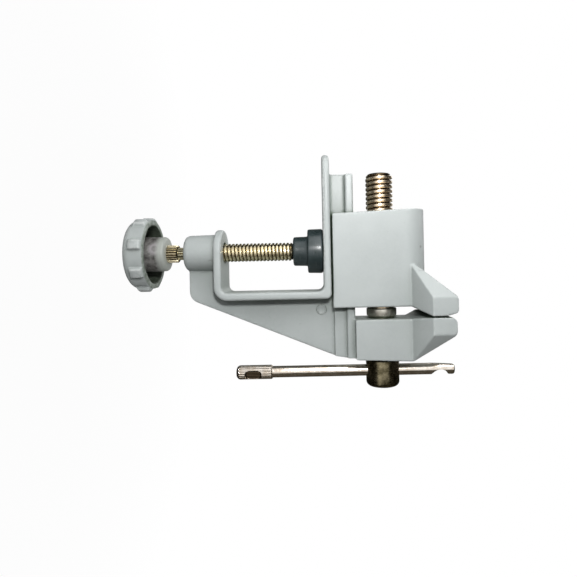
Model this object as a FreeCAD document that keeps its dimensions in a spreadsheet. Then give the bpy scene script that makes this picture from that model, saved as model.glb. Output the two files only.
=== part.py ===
import FreeCAD, Part

import math
import os

import Sketcher

# Small clamp-on bench vise, in millimetres. +Z is up, +X points at the user, Y is across the jaws.
# The origin is on the underside of the table plate, on the axis of the table clamp's screw.

doc = FreeCAD.newDocument("clamp_on_vise")
sheet = doc.addObject("Spreadsheet::Sheet", "sizes")

SIZES = (
    # the bent strip of the C-frame: table plate, post and clamp arm
    ("strip_width", 16.0),
    ("strip_thick", 2.6),
    ("plate_reach", 33.3),
    ("throat_depth", 13.7),
    ("throat_height", 34.3),
    ("strip_corner", 4.6),
    ("strip_top_corner", 1.7),
    ("strip_inner_corner", 2.0),
    ("strip_round", 0.8),
    # the boss that carries the clamp screw, and the thin web behind the frame
    ("boss_width", 12.6),
    ("boss_length", 10.8),
    ("boss_round", 1.6),
    ("rib_thick", 3.2),
    ("rib_drop", 46.55),
    ("rib_depth", 16.0),
    ("rib_toe", 36.4),
    ("rib_rise", 0.9),
    ("rib_round", 4.1),
    # the T-shaped rail on the table plate
    ("rail_reach", 26.2),
    ("rail_neck_width", 5.2),
    ("rail_neck_height", 5.2),
    ("rail_head_width", 8.4),
    ("rail_head_height", 2.8),
    ("rail_round", 0.4),
    ("rail_short", 0.1),
    # what both jaws share
    ("block_width", 14.0),
    ("jaw_width", 30.0),
    ("flare_start", 29.5),
    ("flare_rise", 5.2),
    ("crown_rise", 5.7),
    ("cast_round", 0.7),
    ("tip_round", 0.5),
    ("casting_draft", 2.4),
    # the fixed jaw
    ("fixed_face", 22.5),
    ("fixed_tip_thick", 5.6),
    ("fixed_tip_height", 7.7),
    ("fixed_relief", 1.1),
    ("fixed_block_length", 13.6),
    ("fixed_side_run", 9.8),
    ("fixed_end_height", 0.3),
    ("fixed_nose_round", 2.2),
    # the sliding jaw
    ("jaw_gap", 0.45),
    ("moving_tip_thick", 6.1),
    ("moving_tip_height", 8.2),
    ("moving_relief", 2.55),
    ("moving_block_length", 31.9),
    ("moving_side_run", 10.45),
    ("moving_end_height", 1.6),
    ("moving_nose_bevel", 0.8),
    ("slide_lift", 0.45),
    ("slide_play", 0.15),
    # the main screw and what is on it
    ("screw_height", 20.0),
    ("main_thread_width", 9.4),
    ("main_pitch", 1.5875),
    ("main_thread_start", 26.3),
    ("main_thread_gap", 3.24),
    ("shank_width", 8.2),
    ("main_head_width", 11.5),
    ("main_head_length", 9.4),
    ("main_head_round", 1.6),
    ("collar_width", 10.4),
    ("collar_length", 3.3),
    ("collar_round", 0.9),
    ("running_play", 0.06),
    # the sliding tommy bar
    ("bar_width", 3.8),
    ("bar_low", 51.0),
    ("bar_high", 24.8),
    ("bar_offset", 4.0),
    ("bar_play", 0.08),
    ("bar_knurl_width", 4.9),
    ("bar_knurl_length", 12.5),
    ("bar_flat_start", 3.2),
    ("bar_flat_length", 5.6),
    ("bar_flat_depth", 0.7),
    ("bar_notch_radius", 3.3),
    ("bar_notch_depth", 1.9),
    ("bar_lip", 4.9),
    # the table clamp's screw
    ("clamp_thread_width", 6.3),
    ("clamp_pitch", 1.27),
    ("clamp_thread_low", 49.2),
    ("clamp_neck_width", 4.3),
    ("clamp_neck_length", 1.1),
    ("clamp_spline_width", 6.1),
    ("clamp_spline_length", 10.2),
    ("clamp_spline_show", 3.7),
    ("ball_width", 5.2),
    ("ball_neck_width", 3.8),
    ("ball_neck_length", 2.2),
    ("ball_play", 0.08),
    # the clamp's swivel pad
    ("pad_gap", 0.05),
    ("pad_disc_width", 15.4),
    ("pad_disc_height", 5.25),
    ("pad_neck_width", 10.2),
    ("pad_neck_height", 5.0),
    ("pad_round", 0.6),
    # the ribbed knob on the clamp screw
    ("knob_width", 23.8),
    ("knob_rib_width", 26.2),
    ("knob_rib_angle", 17.0),
    ("knob_rib_count", 8),
    ("knob_depth", 8.1),
    ("knob_wall", 1.6),
    ("knob_dome", 0.8),
    ("knob_corner", 2.6),
    ("knob_rib_low", 0.5),
    ("knob_rib_high", 0.5),
    ("knob_hub_width", 12.0),
    ("knob_hub_stand", 4.9),
    ("knob_hub_chamfer", 0.9),
    ("knob_turn", 30.5),
)

for row, (alias, value) in enumerate(SIZES, start=1):
    sheet.set(f"A{row}", alias)
    sheet.set(f"B{row}", str(value))
    sheet.setAlias(f"B{row}", alias)
doc.recompute()


def size(alias):
    return float(sheet.get(alias))


# ---------------------------------------------------------------- shared ways of making shapes

VIEWS = {
    "XY": FreeCAD.Rotation(),
    "XZ": FreeCAD.Rotation(FreeCAD.Vector(1, 0, 0), 90),
    "YZ": FreeCAD.Rotation(FreeCAD.Vector(1, 1, 1), 120),
}
ALONG = {
    "X": FreeCAD.Rotation(FreeCAD.Vector(0, 1, 0), 90),
    "Y": FreeCAD.Rotation(FreeCAD.Vector(1, 0, 0), -90),
    "Z": FreeCAD.Rotation(),
}


def bind(thing, **expressions):
    """Bind properties of a document object to cells; a double underscore stands for a dot."""
    for path, expression in expressions.items():
        thing.setExpression(path.replace("__", "."), expression)
    return thing


def place(thing, rotation=None, x="0", y="0", z="0"):
    """Put an object at a point given by expressions."""
    if rotation is not None:
        thing.Placement = FreeCAD.Placement(FreeCAD.Vector(), rotation)
    return bind(thing, Placement__Base__x=x, Placement__Base__y=y, Placement__Base__z=z)


def fill_outline(sketch, corners):
    """Draw a closed outline of straight lines, each corner held by two distances from the origin."""
    count = len(corners)
    circle = [
        FreeCAD.Vector(math.cos(math.tau * i / count), math.sin(math.tau * i / count), 0)
        for i in range(count)
    ]
    for i in range(count):
        sketch.addGeometry(Part.LineSegment(circle[i], circle[(i + 1) % count]), False)
    for i in range(count):
        sketch.addConstraint(Sketcher.Constraint("Coincident", i, 2, (i + 1) % count, 1))
    for i, (across, up) in enumerate(corners):
        for kind, start, expression in (
            ("DistanceX", circle[i].x, across),
            ("DistanceY", circle[i].y, up),
        ):
            index = sketch.addConstraint(Sketcher.Constraint(kind, -1, 1, i, 1, start))
            label = f"corner{i + 1}_{kind[-1]}"
            sketch.renameConstraint(index, label)
            sketch.setExpression(f"Constraints.{label}", expression)
    return sketch


def outline(name, view, corners):
    """A free sketch of straight lines in the XY, XZ or YZ view."""
    sketch = doc.addObject("Sketcher::SketchObject", name)
    sketch.Placement = FreeCAD.Placement(FreeCAD.Vector(), VIEWS[view])
    return fill_outline(sketch, corners)


def slab(name, view, corners, thick):
    """An outline pushed out to both sides of its view's plane."""
    solid = doc.addObject("Part::Extrusion", name)
    solid.Base = outline(f"{name}_outline", view, corners)
    solid.DirMode = "Normal"
    solid.Solid = True
    solid.Symmetric = True
    return bind(solid, LengthFwd=thick)


def block(name, x, y, z):
    """A box between the low and high expressions given for each axis."""
    solid = bind(
        doc.addObject("Part::Box", name),
        Length=f"({x[1]}) - ({x[0]})",
        Width=f"({y[1]}) - ({y[0]})",
        Height=f"({z[1]}) - ({z[0]})",
    )
    return place(solid, x=x[0], y=y[0], z=z[0])


def rod(name, axis, radius, length, x="0", y="0", z="0"):
    """A cylinder that starts at a point and runs along an axis."""
    solid = bind(doc.addObject("Part::Cylinder", name), Radius=radius, Height=length)
    return place(solid, ALONG[axis], x, y, z)


def combine(kind, name, parts):
    """A fuse or common of several shapes."""
    solid = doc.addObject(kind, name)
    solid.Shapes = parts
    solid.Refine = True
    return solid


def fuse(name, parts):
    return combine("Part::MultiFuse", name, parts)


def common(name, parts):
    return combine("Part::MultiCommon", name, parts)


def cut(name, base, tool):
    solid = doc.addObject("Part::Cut", name)
    solid.Base = base
    solid.Tool = tool
    solid.Refine = True
    return solid


def soften(name, base, radius, wanted):
    """Round the edges of base that wanted(edge) picks."""
    doc.recompute()
    picked = [i for i, edge in enumerate(base.Shape.Edges, start=1) if wanted(edge)]
    if not picked:
        raise ValueError(f"{name} has no edge to round")
    solid = doc.addObject("Part::Fillet", name)
    solid.Base = base
    solid.Edges = [(i, radius, radius) for i in picked]
    return solid


def middle(edge):
    """The point halfway along an edge."""
    return edge.valueAt((edge.FirstParameter + edge.LastParameter) / 2)


def runs_along(edge, axis):
    """Whether an edge is straight and parallel to an axis."""
    if edge.Curve.TypeId != "Part::GeomLine":
        return False
    return edge.Curve.Direction.cross(axis).Length < NEAR


# how close counts as the same place, in millimetres
NEAR = 0.01
X_AXIS = FreeCAD.Vector(1, 0, 0)
Y_AXIS = FreeCAD.Vector(0, 1, 0)
Z_AXIS = FreeCAD.Vector(0, 0, 1)


def new_body(name):
    """A PartDesign body, with a lookup of its own origin planes and axes."""
    body = doc.addObject("PartDesign::Body", name)
    return body, {feature.Role: feature for feature in body.Origin.OriginFeatures}


def body_outline(body, plane, name, corners):
    """A sketch of straight lines on one of a body's origin planes."""
    sketch = body.newObject("Sketcher::SketchObject", name)
    sketch.AttachmentSupport = [(plane, "")]
    sketch.MapMode = "FlatFace"
    return fill_outline(sketch, corners)


def turned(body, kind, sketch, axis, angle=360.0, midplane=False):
    """A Revolution or Groove of a sketch about one of a body's origin axes."""
    feature = body.newObject(f"PartDesign::{kind}", f"{sketch.Name}_turned")
    feature.Profile = sketch
    feature.ReferenceAxis = (axis, [""])
    feature.Angle = angle
    feature.Midplane = midplane
    doc.recompute()
    return feature


def repeated(body, feature, axis, length, count):
    """A feature repeated in a row; count is an expression."""
    pattern = body.newObject("PartDesign::LinearPattern", f"{feature.Name}_row")
    pattern.Originals = [feature]
    pattern.Direction = (axis, [""])
    bind(pattern, Length=length, Occurrences=count)
    body.Tip = pattern
    doc.recompute()
    return pattern


# ---------------------------------------------------------------- places that several pieces share

POST_OUT = "(sizes.throat_depth + sizes.strip_thick)"
ARM_LOW = "(-sizes.throat_height - sizes.strip_thick)"
BOSS_LOW = f"({ARM_LOW} - sizes.boss_length)"
HALF_STRIP = "(sizes.strip_width / 2)"
HALF_BLOCK = "(sizes.block_width / 2)"
HALF_JAW = "(sizes.jaw_width / 2)"
CROWN_TOP = "(sizes.flare_start + sizes.crown_rise)"
FLARE_END = "(sizes.flare_start + sizes.flare_rise)"
FIXED_TOP = f"({FLARE_END} + sizes.fixed_tip_height)"
ARCH_Z = f"({CROWN_TOP} - {HALF_BLOCK})"
NECK_TOP = "(sizes.strip_thick + sizes.rail_neck_height)"
RAIL_TOP = f"({NECK_TOP} + sizes.rail_head_height)"
FIXED_RELIEF_X = "(sizes.fixed_face + sizes.fixed_relief)"
FIXED_BACK_X = f"({FIXED_RELIEF_X} + sizes.fixed_block_length)"
DRAFT = "tan(sizes.casting_draft)"
MOVING_FACE = "(sizes.fixed_face - sizes.jaw_gap)"
MOVING_RELIEF_X = f"({MOVING_FACE} - sizes.moving_relief)"
MOVING_BACK_X = f"({MOVING_RELIEF_X} - sizes.moving_block_length)"
SLIDE_LOW = "(sizes.strip_thick + sizes.slide_lift)"
MAIN_BORE = "(sizes.main_thread_width / 2 + sizes.running_play)"
SHANK_BORE = "(sizes.shank_width / 2 + sizes.running_play)"
CLAMP_BORE = "(sizes.clamp_thread_width / 2 + sizes.running_play)"
# the head's seat clears the drafted back of the fixed jaw
HEAD_X = (
    f"({FIXED_BACK_X} + {DRAFT} * (sizes.screw_height + sizes.main_head_width / 2 - {RAIL_TOP})"
    " + sizes.running_play)"
)
BAR_X = f"({HEAD_X} + sizes.bar_offset)"
COLLAR_X = f"({FIXED_RELIEF_X} - sizes.running_play - sizes.collar_length)"
THREAD_END = f"({COLLAR_X} - sizes.main_thread_gap)"
PAD_LOW = "(-sizes.pad_gap - sizes.pad_disc_height - sizes.pad_neck_height)"


# ---------------------------------------------------------------- jaws

def jaw_head(name, face, tip_back, side_end, slope_end, relief, tip_height, forward):
    """The wide gripping head: where its side, plan and end outlines overlap.

    forward is +1 where the gripping face looks along +X and -1 where it looks along -X. The
    underside of the flare slants down and in, its sides run straight up, and its back slopes.
    """
    jaw_top = f"({FLARE_END} + sizes.{tip_height})"
    side = slab(
        f"{name}_side",
        "XZ",
        [
            (side_end, "sizes.flare_start"),
            (side_end, slope_end),
            (tip_back, jaw_top),
            (face, jaw_top),
            (face, FLARE_END),
            (relief, "sizes.flare_start"),
        ],
        "sizes.jaw_width * 2",
    )
    plan = slab(
        f"{name}_plan",
        "XY",
        [
            (side_end, HALF_BLOCK),
            (tip_back, HALF_JAW),
            (face, HALF_JAW),
            (face, f"-{HALF_JAW}"),
            (tip_back, f"-{HALF_JAW}"),
            (side_end, f"-{HALF_BLOCK}"),
        ],
        f"{jaw_top} * 3",
    )
    end = slab(
        f"{name}_end",
        "YZ",
        [
            (f"-{HALF_BLOCK}", "sizes.flare_start"),
            (HALF_BLOCK, "sizes.flare_start"),
            (HALF_JAW, FLARE_END),
            (HALF_JAW, jaw_top),
            (f"-{HALF_JAW}", jaw_top),
            (f"-{HALF_JAW}", FLARE_END),
        ],
        "sizes.plate_reach * 4",
    )
    head = common(f"{name}_sharp", [side, plan, end])
    top = size("flare_start") + size("flare_rise") + size(tip_height)
    face_x = size("fixed_face") if forward < 0 else size("fixed_face") - size("jaw_gap")
    nose_round = size("fixed_nose_round") if forward < 0 else size("moving_nose_bevel")

    def on_top(edge):
        return abs(middle(edge).z - top) < NEAR

    def on_nose(edge):
        return on_top(edge) and abs(middle(edge).x - face_x) < NEAR

    nosed = soften(f"{name}_nosed", head, nose_round, on_nose)
    return soften(f"{name}_rounded", nosed, size("tip_round"), on_top)


def arch_block(name, corners):
    """A jaw's upright block: a side outline, as wide as the block, under a round crown."""
    side = slab(f"{name}_side", "XZ", corners, "sizes.block_width")
    reach = "sizes.plate_reach * 4"
    upright = block(
        f"{name}_upright",
        (f"-{reach} / 2", f"{reach} / 2"),
        (f"-{HALF_BLOCK}", HALF_BLOCK),
        ("0", ARCH_Z),
    )
    crown = rod(f"{name}_crown", "X", HALF_BLOCK, reach, x=f"-{reach} / 2", z=ARCH_Z)
    return common(f"{name}_sharp", [side, fuse(f"{name}_arch", [upright, crown])])


def make_sliding_jaw():
    """The sliding jaw: one casting that wraps the rail and carries the main screw's nut thread."""
    side_end = f"({MOVING_FACE} - sizes.moving_tip_thick - sizes.moving_side_run)"
    tip_back = f"({MOVING_FACE} - sizes.moving_tip_thick)"
    slope_end = "(sizes.flare_start + sizes.moving_end_height)"
    head = jaw_head(
        "moving_head",
        MOVING_FACE,
        tip_back,
        side_end,
        slope_end,
        MOVING_RELIEF_X,
        "moving_tip_height",
        1,
    )
    lean = f"({MOVING_BACK_X} - {DRAFT} * ({CROWN_TOP} - {SLIDE_LOW}))"
    upright = arch_block(
        "moving_block",
        [
            (MOVING_BACK_X, SLIDE_LOW),
            (MOVING_RELIEF_X, SLIDE_LOW),
            (MOVING_RELIEF_X, CROWN_TOP),
            (lean, CROWN_TOP),
        ],
    )
    front = size("fixed_face") - size("jaw_gap") - size("moving_relief")
    rounded = soften(
        "moving_block_rounded",
        upright,
        size("cast_round"),
        lambda edge: middle(edge).x < front - NEAR,
    )
    solid = fuse("moving_casting", [rounded, head])
    reach = "sizes.plate_reach * 4"
    neck_slot = block(
        "neck_slot",
        (f"-{reach} / 2", f"{reach} / 2"),
        ("-sizes.rail_neck_width / 2 - sizes.slide_play", "sizes.rail_neck_width / 2 + sizes.slide_play"),
        ("0", f"{NECK_TOP}"),
    )
    head_slot = block(
        "head_slot",
        (f"-{reach} / 2", f"{reach} / 2"),
        ("-sizes.rail_head_width / 2 - sizes.slide_play", "sizes.rail_head_width / 2 + sizes.slide_play"),
        (f"{NECK_TOP} - sizes.slide_play", f"{RAIL_TOP} + sizes.slide_play"),
    )
    nut = rod("nut_bore", "X", MAIN_BORE, reach, x=f"-{reach} / 2", z="sizes.screw_height")
    return cut("sliding_jaw", solid, fuse("sliding_jaw_cuts", [neck_slot, head_slot, nut]))


# ---------------------------------------------------------------- the main casting

def make_vise_body():
    """The one-piece casting: C-frame, screw boss, rib, T-shaped rail and fixed jaw."""
    plate = block(
        "plate",
        (f"-sizes.plate_reach + {HALF_STRIP}", POST_OUT),
        (f"-{HALF_STRIP}", HALF_STRIP),
        ("0", "sizes.strip_thick"),
    )
    plate_end = rod(
        "plate_end", "Z", HALF_STRIP, "sizes.strip_thick", x=f"-sizes.plate_reach + {HALF_STRIP}"
    )
    post = block(
        "post",
        ("sizes.throat_depth", POST_OUT),
        (f"-{HALF_STRIP}", HALF_STRIP),
        (ARM_LOW, "sizes.strip_thick"),
    )
    arm = block("arm", ("0", POST_OUT), (f"-{HALF_STRIP}", HALF_STRIP), (ARM_LOW, "-sizes.throat_height"))
    eye = rod("arm_eye", "Z", HALF_STRIP, "sizes.strip_thick", z=ARM_LOW)
    strip = fuse("strip_sharp", [plate, plate_end, post, arm, eye])
    post_in = size("throat_depth")
    post_out = post_in + size("strip_thick")

    def on_bend(edge, x):
        return runs_along(edge, Y_AXIS) and abs(middle(edge).x - x) < NEAR

    bent = soften(
        "strip_bent",
        strip,
        size("strip_corner"),
        lambda edge: on_bend(edge, post_out) and middle(edge).z < 0,
    )
    topped = soften(
        "strip_topped",
        bent,
        size("strip_top_corner"),
        lambda edge: on_bend(edge, post_out) and middle(edge).z > 0,
    )
    inner = soften(
        "strip_inner", topped, size("strip_inner_corner"), lambda edge: on_bend(edge, post_in)
    )
    half_strip = size("strip_width") / 2
    soft_strip = soften(
        "strip",
        inner,
        size("strip_round"),
        lambda edge: not runs_along(edge, Y_AXIS)
        and not (edge.Curve.TypeId == "Part::GeomLine" and abs(abs(middle(edge).y) - half_strip) > NEAR),
    )

    boss = rod(
        "boss_sharp", "Z", "sizes.boss_width / 2", f"sizes.boss_length + sizes.strip_thick / 2", z=BOSS_LOW
    )
    boss_low = -(size("throat_height") + size("strip_thick") + size("boss_length"))
    soft_boss = soften(
        "boss", boss, size("boss_round"), lambda edge: abs(middle(edge).z - boss_low) < NEAR
    )

    inside_post = "(sizes.throat_depth + sizes.strip_thick / 2)"
    rib_top = "(sizes.strip_thick + sizes.rib_rise)"
    rib = slab(
        "rib_sharp",
        "XZ",
        [
            ("sizes.boss_width / 4", "-sizes.rib_drop"),
            ("sizes.rib_depth", "-sizes.rib_drop"),
            ("sizes.rib_toe", rib_top),
            (inside_post, rib_top),
            (inside_post, "-sizes.throat_height - sizes.strip_thick / 2"),
            ("sizes.boss_width / 4", "-sizes.throat_height - sizes.strip_thick / 2"),
        ],
        "sizes.rib_thick",
    )
    corner = FreeCAD.Vector(size("rib_depth"), 0, -size("rib_drop"))
    soft_rib = soften(
        "rib",
        rib,
        size("rib_round"),
        lambda edge: runs_along(edge, Y_AXIS) and middle(edge).distanceToPoint(corner) < NEAR,
    )

    # the rail's lower end leans from the web's toe to just short of the fixed jaw's back
    rail_stop = f"({FIXED_BACK_X} - sizes.rail_short)"
    neck = slab(
        "rail_neck",
        "XZ",
        [
            ("-sizes.rail_reach", "sizes.strip_thick / 2"),
            (inside_post, "sizes.strip_thick / 2"),
            (inside_post, rib_top),
            ("sizes.rib_toe", rib_top),
            (rail_stop, NECK_TOP),
            (rail_stop, RAIL_TOP),
            ("-sizes.rail_reach", RAIL_TOP),
        ],
        "sizes.rail_neck_width",
    )
    rail_head = block(
        "rail_head_sharp",
        ("-sizes.rail_reach", rail_stop),
        ("-sizes.rail_head_width / 2", "sizes.rail_head_width / 2"),
        (NECK_TOP, RAIL_TOP),
    )
    soft_rail = soften(
        "rail_head",
        rail_head,
        size("rail_round"),
        lambda edge: runs_along(edge, X_AXIS) or middle(edge).x < 0,
    )

    tip_back = "(sizes.fixed_face + sizes.fixed_tip_thick)"
    side_end = f"({tip_back} + sizes.fixed_side_run)"
    slope_end = "(sizes.flare_start + sizes.fixed_end_height)"
    slope = f"(({FIXED_TOP} - {slope_end}) / sizes.fixed_side_run)"
    head = jaw_head(
        "fixed_head",
        "sizes.fixed_face",
        tip_back,
        side_end,
        slope_end,
        FIXED_RELIEF_X,
        "fixed_tip_height",
        -1,
    )
    back_lean = f"({FIXED_BACK_X} + {DRAFT} * ({slope_end} - {RAIL_TOP}))"
    slope_low = f"({slope_end} - ({back_lean} - {side_end}) * {slope})"
    crown_x = f"({tip_back} + ({FIXED_TOP} - {CROWN_TOP}) / {slope})"
    upright = arch_block(
        "fixed_block",
        [
            (FIXED_RELIEF_X, RAIL_TOP),
            (FIXED_BACK_X, RAIL_TOP),
            (back_lean, slope_low),
            (crown_x, CROWN_TOP),
            (FIXED_RELIEF_X, CROWN_TOP),
        ],
    )
    relief_x = size("fixed_face") + size("fixed_relief")
    soft_block = soften(
        "fixed_block_rounded",
        upright,
        size("cast_round"),
        lambda edge: not runs_along(edge, X_AXIS) and abs(middle(edge).x - relief_x) > NEAR
        and middle(edge).z < size("flare_start") + 1,
    )

    solid = fuse(
        "body_casting",
        [soft_strip, soft_boss, soft_rib, neck, soft_rail, soft_block, head],
    )
    shank_hole = rod(
        "shank_hole",
        "X",
        SHANK_BORE,
        "sizes.fixed_block_length * 2",
        x=f"{FIXED_RELIEF_X} - sizes.fixed_block_length / 2",
        z="sizes.screw_height",
    )
    clamp_hole = rod(
        "clamp_hole",
        "Z",
        CLAMP_BORE,
        "sizes.boss_length * 2 + sizes.strip_thick",
        z=f"{BOSS_LOW} - sizes.boss_length / 2",
    )
    return cut("vise_body", solid, fuse("vise_body_cuts", [shank_hole, clamp_hole]))


# ---------------------------------------------------------------- turned pieces

def cut_thread(body, origin, name, axis_name, first, radius, pitch, count, along_z):
    """Cut the thread as a row of ring grooves with flat crests and roots."""
    depth = f"{pitch} * 0.58"
    flank = f"{pitch} * 0.4"
    root = f"{pitch} * 0.08"
    clear = f"{pitch} * 0.2"
    rows = [
        (f"{first} - {flank} * 1.2", f"{radius} + {clear} / 2"),
        (f"{first} - {root}", f"{radius} - {depth}"),
        (f"{first} + {root}", f"{radius} - {depth}"),
        (f"{first} + {flank} * 1.2", f"{radius} + {clear} / 2"),
    ]
    corners = [(r, a) for a, r in rows] if along_z else rows
    sketch = body_outline(body, origin["XZ_Plane"], f"{name}_groove", corners)
    groove = turned(body, "Groove", sketch, origin[axis_name])
    return repeated(body, groove, origin[axis_name], f"{pitch} * ({count} - 1)", count)


def make_main_screw():
    """The jaw screw: a steel screw with a round cross-drilled head, turned about the X axis."""
    body, origin = new_body("main_screw")
    place(body, z="sizes.screw_height")
    thread_radius = "(sizes.main_thread_width / 2)"
    chamfer = "sizes.main_pitch * 0.5"
    tail = f"({HEAD_X} + sizes.main_head_length)"
    head_radius = "(sizes.main_head_width / 2)"
    corner = "sizes.main_head_round"
    profile = body_outline(
        body,
        origin["XZ_Plane"],
        "screw_profile",
        [
            ("-sizes.main_thread_start", "0"),
            ("-sizes.main_thread_start", f"{thread_radius} - {chamfer}"),
            (f"-sizes.main_thread_start + {chamfer}", thread_radius),
            (THREAD_END, thread_radius),
            (THREAD_END, "sizes.shank_width / 2"),
            (HEAD_X, "sizes.shank_width / 2"),
            (HEAD_X, head_radius),
            (f"{tail} - {corner}", head_radius),
            (f"{tail} - {corner} * 0.293", f"{head_radius} - {corner} * 0.293"),
            (tail, f"{head_radius} - {corner}"),
            (tail, "0"),
        ],
    )
    turned(body, "Revolution", profile, origin["X_Axis"])
    first = "(-sizes.main_thread_start + sizes.main_pitch * 0.9)"
    count = f"floor(({THREAD_END} + sizes.main_thread_start - sizes.main_pitch) / sizes.main_pitch)"
    cut_thread(body, origin, "main_thread", "X_Axis", first, thread_radius, "sizes.main_pitch", count, False)
    bore = rod(
        "bar_hole",
        "Z",
        "sizes.bar_width / 2 + sizes.bar_play",
        "sizes.main_head_width * 2",
        x=BAR_X,
        z="sizes.screw_height - sizes.main_head_width",
    )
    body.Label = "main_screw_turned"
    return cut("main_screw_drilled", body, bore)


def make_retaining_collar():
    """The ring pressed on the shank in front of the fixed jaw: it pulls the sliding jaw open."""
    ring = rod(
        "collar_ring",
        "X",
        "sizes.collar_width / 2",
        "sizes.collar_length",
        x=COLLAR_X,
        z="sizes.screw_height",
    )
    seat_x = size("fixed_face") + size("fixed_relief") - size("running_play")
    soft_ring = soften(
        "collar_rounded", ring, size("collar_round"), lambda edge: abs(middle(edge).x - seat_x) < NEAR
    )
    hole = rod(
        "collar_hole",
        "X",
        "sizes.shank_width / 2",
        "sizes.collar_length * 3",
        x=f"{COLLAR_X} - sizes.collar_length",
        z="sizes.screw_height",
    )
    return cut("retaining_collar", soft_ring, hole)


def make_handle_bar():
    """The tommy bar: a rod with a knurled, staked lower end and a notched upper end."""
    low = "(sizes.screw_height - sizes.bar_low)"
    high = "(sizes.screw_height + sizes.bar_high)"
    radius = "(sizes.bar_width / 2)"
    shaft = rod("bar_shaft", "Z", radius, "sizes.bar_low + sizes.bar_high", x=BAR_X, z=low)
    knurl = rod("bar_knurl_sharp", "Z", "sizes.bar_knurl_width / 2", "sizes.bar_knurl_length", x=BAR_X, z=low)
    low_z = size("screw_height") - size("bar_low")
    soft_knurl = soften(
        "bar_knurl",
        knurl,
        size("bar_knurl_width") * 0.3,
        lambda edge: not runs_along(edge, Z_AXIS) and abs(middle(edge).z - low_z) < NEAR,
    )
    solid = fuse("bar_blank", [shaft, soft_knurl])
    notch = rod(
        "bar_notch",
        "Y",
        "sizes.bar_notch_radius",
        "sizes.bar_width * 2",
        x=f"{BAR_X} + {radius} - sizes.bar_notch_depth + sizes.bar_notch_radius",
        y="-sizes.bar_width",
        z=f"{high} - sizes.bar_lip",
    )
    flat_y = "(-sizes.bar_knurl_width / 2)"
    flat = block(
        "bar_flat",
        (f"{BAR_X} - sizes.bar_knurl_width * 0.2", f"{BAR_X} + sizes.bar_knurl_width"),
        (f"{flat_y} - sizes.bar_flat_depth", f"{flat_y} + sizes.bar_flat_depth"),
        (f"{low} + sizes.bar_flat_start", f"{low} + sizes.bar_flat_start + sizes.bar_flat_length"),
    )
    return cut("handle_bar", solid, fuse("bar_cuts", [notch, flat]))


def make_clamp_screw():
    """The table clamp's screw: thread, ball end in the pad, and a splined tail for the knob."""
    body, origin = new_body("clamp_screw")
    thread_radius = "(sizes.clamp_thread_width / 2)"
    neck = "(sizes.clamp_neck_width / 2)"
    spline = "(sizes.clamp_spline_width / 2)"
    ball = "(sizes.ball_width / 2)"
    ball_neck = "(sizes.ball_neck_width / 2)"
    thread_low = "(-sizes.clamp_thread_low)"
    thread_high = f"({PAD_LOW} - sizes.ball_play * 2)"
    spline_high = f"({thread_low} - sizes.clamp_neck_length)"
    spline_low = f"({spline_high} - sizes.clamp_spline_length)"
    ball_low = f"({thread_high} + sizes.ball_neck_length)"
    chamfer = "sizes.clamp_pitch * 0.5"
    profile = body_outline(
        body,
        origin["XZ_Plane"],
        "clamp_profile",
        [
            ("0", spline_low),
            (f"{spline} - {chamfer}", spline_low),
            (spline, f"{spline_low} + {chamfer}"),
            (spline, spline_high),
            (neck, spline_high),
            (neck, thread_low),
            (f"{thread_radius} - {chamfer}", thread_low),
            (thread_radius, f"{thread_low} + {chamfer}"),
            (thread_radius, thread_high),
            (ball_neck, thread_high),
            (ball_neck, ball_low),
            (f"{ball} * 0.92", f"{ball_low} + {ball} * 0.3"),
            (ball, f"{ball_low} + {ball} * 0.7"),
            (f"{ball} * 0.92", f"{ball_low} + {ball} * 1.1"),
            (f"{ball} * 0.6", f"{ball_low} + {ball} * 1.5"),
            ("0", f"{ball_low} + {ball} * 1.6"),
        ],
    )
    turned(body, "Revolution", profile, origin["Z_Axis"])
    first = f"({thread_low} + sizes.clamp_pitch * 0.9)"
    count = f"floor(({thread_high} - {thread_low} - sizes.clamp_pitch) / sizes.clamp_pitch)"
    cut_thread(body, origin, "clamp_thread", "Z_Axis", first, thread_radius, "sizes.clamp_pitch", count, True)
    return body


def make_clamp_pad():
    """The plastic swivel pad: a disc and neck, hollowed for the screw's ball end."""
    body, origin = new_body("clamp_pad")
    top = "(-sizes.pad_gap)"
    step = "(-sizes.pad_gap - sizes.pad_disc_height)"
    disc = "(sizes.pad_disc_width / 2)"
    neck = "(sizes.pad_neck_width / 2)"
    mouth = "(sizes.ball_neck_width / 2 + sizes.ball_play)"
    socket = "(sizes.ball_width / 2 + sizes.ball_play)"
    ball = "(sizes.ball_width / 2)"
    socket_low = f"({PAD_LOW} - sizes.ball_play * 3 + sizes.ball_neck_length)"
    socket_high = f"({socket_low} + {ball} * 1.6 + sizes.ball_play * 2)"
    profile = body_outline(
        body,
        origin["XZ_Plane"],
        "pad_profile",
        [
            ("0", top),
            (f"{disc} - sizes.pad_round", top),
            (disc, f"{top} - sizes.pad_round"),
            (disc, f"{step} + sizes.pad_round"),
            (f"{disc} - sizes.pad_round", step),
            (neck, step),
            (f"{neck} * 0.98", f"{PAD_LOW} + sizes.pad_round"),
            (f"{neck} - sizes.pad_round", PAD_LOW),
            (mouth, PAD_LOW),
            (mouth, socket_low),
            (socket, socket_low),
            (socket, socket_high),
            ("0", socket_high),
        ],
    )
    turned(body, "Revolution", profile, origin["Z_Axis"])
    return body


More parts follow.
